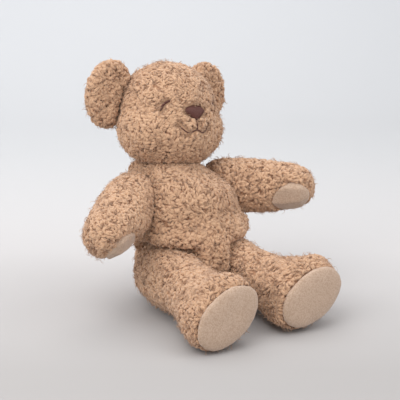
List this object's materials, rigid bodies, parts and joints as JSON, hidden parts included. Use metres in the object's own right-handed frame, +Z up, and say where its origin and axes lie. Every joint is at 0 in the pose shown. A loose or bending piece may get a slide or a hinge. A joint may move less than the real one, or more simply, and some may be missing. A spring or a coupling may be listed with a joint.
{
  "type": "jointed teddy bear",
  "caption": "Seated plush teddy bear of sewn panels over stuffing, with a turning head, swinging arms and legs on hidden disc joints, smooth paw and sole pads and a stitched face.",
  "frame": {"origin": "on the floor under the middle of the seated bear's bounding box", "axes": "+Z up, the bear faces -Y, its own left side is at +X"},
  "size_m": [0.2688, 0.2382, 0.253],
  "materials": {
    "plush": "curly short pile",
    "pad_cloth": "short smooth knit",
    "stitching": "satin thread",
    "stuffing": "loose white fibre",
    "joint_plastic": "moulded, satin"
  },
  "bodies": {
    "torso": {"torso_front_left": "plush", "torso_front_right": "plush", "torso_back_left": "plush", "torso_back_right": "plush", "torso_stuffing": "stuffing", "neck_washer_disc": "joint_plastic", "shoulder_right_washer_disc": "joint_plastic", "shoulder_left_washer_disc": "joint_plastic", "hip_right_washer_disc": "joint_plastic", "hip_left_washer_disc": "joint_plastic"},
    "head": {"head_gusset": "plush", "head_side_left": "plush", "head_side_right": "plush", "head_stuffing": "stuffing", "nose": "stitching", "mouth": "stitching", "eye_right": "stitching", "eye_left": "stitching", "neck_stem_disc": "joint_plastic", "neck_lock_ring": "joint_plastic", "ear_right_front": "plush", "ear_right_back": "plush", "ear_right_stuffing": "stuffing", "ear_left_front": "plush", "ear_left_back": "plush", "ear_left_stuffing": "stuffing"},
    "arm_right": {"arm_right_outer": "plush", "arm_right_inner": "plush", "arm_right_paw_pad": "pad_cloth", "arm_right_stuffing": "stuffing", "shoulder_right_stem_disc": "joint_plastic", "shoulder_right_lock_ring": "joint_plastic"},
    "leg_right": {"leg_right_outer": "plush", "leg_right_inner": "plush", "leg_right_sole_pad": "pad_cloth", "leg_right_stuffing": "stuffing", "hip_right_stem_disc": "joint_plastic", "hip_right_lock_ring": "joint_plastic"},
    "arm_left": {"arm_left_outer": "plush", "arm_left_inner": "plush", "arm_left_paw_pad": "pad_cloth", "arm_left_stuffing": "stuffing", "shoulder_left_stem_disc": "joint_plastic", "shoulder_left_lock_ring": "joint_plastic"},
    "leg_left": {"leg_left_outer": "plush", "leg_left_inner": "plush", "leg_left_sole_pad": "pad_cloth", "leg_left_stuffing": "stuffing", "hip_left_stem_disc": "joint_plastic", "hip_left_lock_ring": "joint_plastic"}
  },
  "joints": [
    {"name": "neck_turn", "type": "hinge", "parent": "torso", "child": "head", "pos_m": [-0.0048, 0.05274, 0.14061], "axis": [0.1212, 0.0127, 0.9925], "continuous": true},
    {"name": "shoulder_right_swing", "type": "hinge", "parent": "torso", "child": "arm_right", "pos_m": [-0.03966, 0.04456, 0.10833], "axis": [0.9397, 0, -0.342], "range_deg": [-45, 75]},
    {"name": "shoulder_left_swing", "type": "hinge", "parent": "torso", "child": "arm_left", "pos_m": [0.03997, 0.04456, 0.10833], "axis": [0.9397, 0, 0.342], "range_deg": [-45, 75]},
    {"name": "hip_right_swing", "type": "hinge", "parent": "torso", "child": "leg_right", "pos_m": [-0.00899, 0.02371, 0.037], "axis": [1, 0, 0], "range_deg": [-2, 90]},
    {"name": "hip_left_swing", "type": "hinge", "parent": "torso", "child": "leg_left", "pos_m": [0.00931, 0.02371, 0.037], "axis": [1, 0, 0], "range_deg": [-2, 90]}
  ]
}
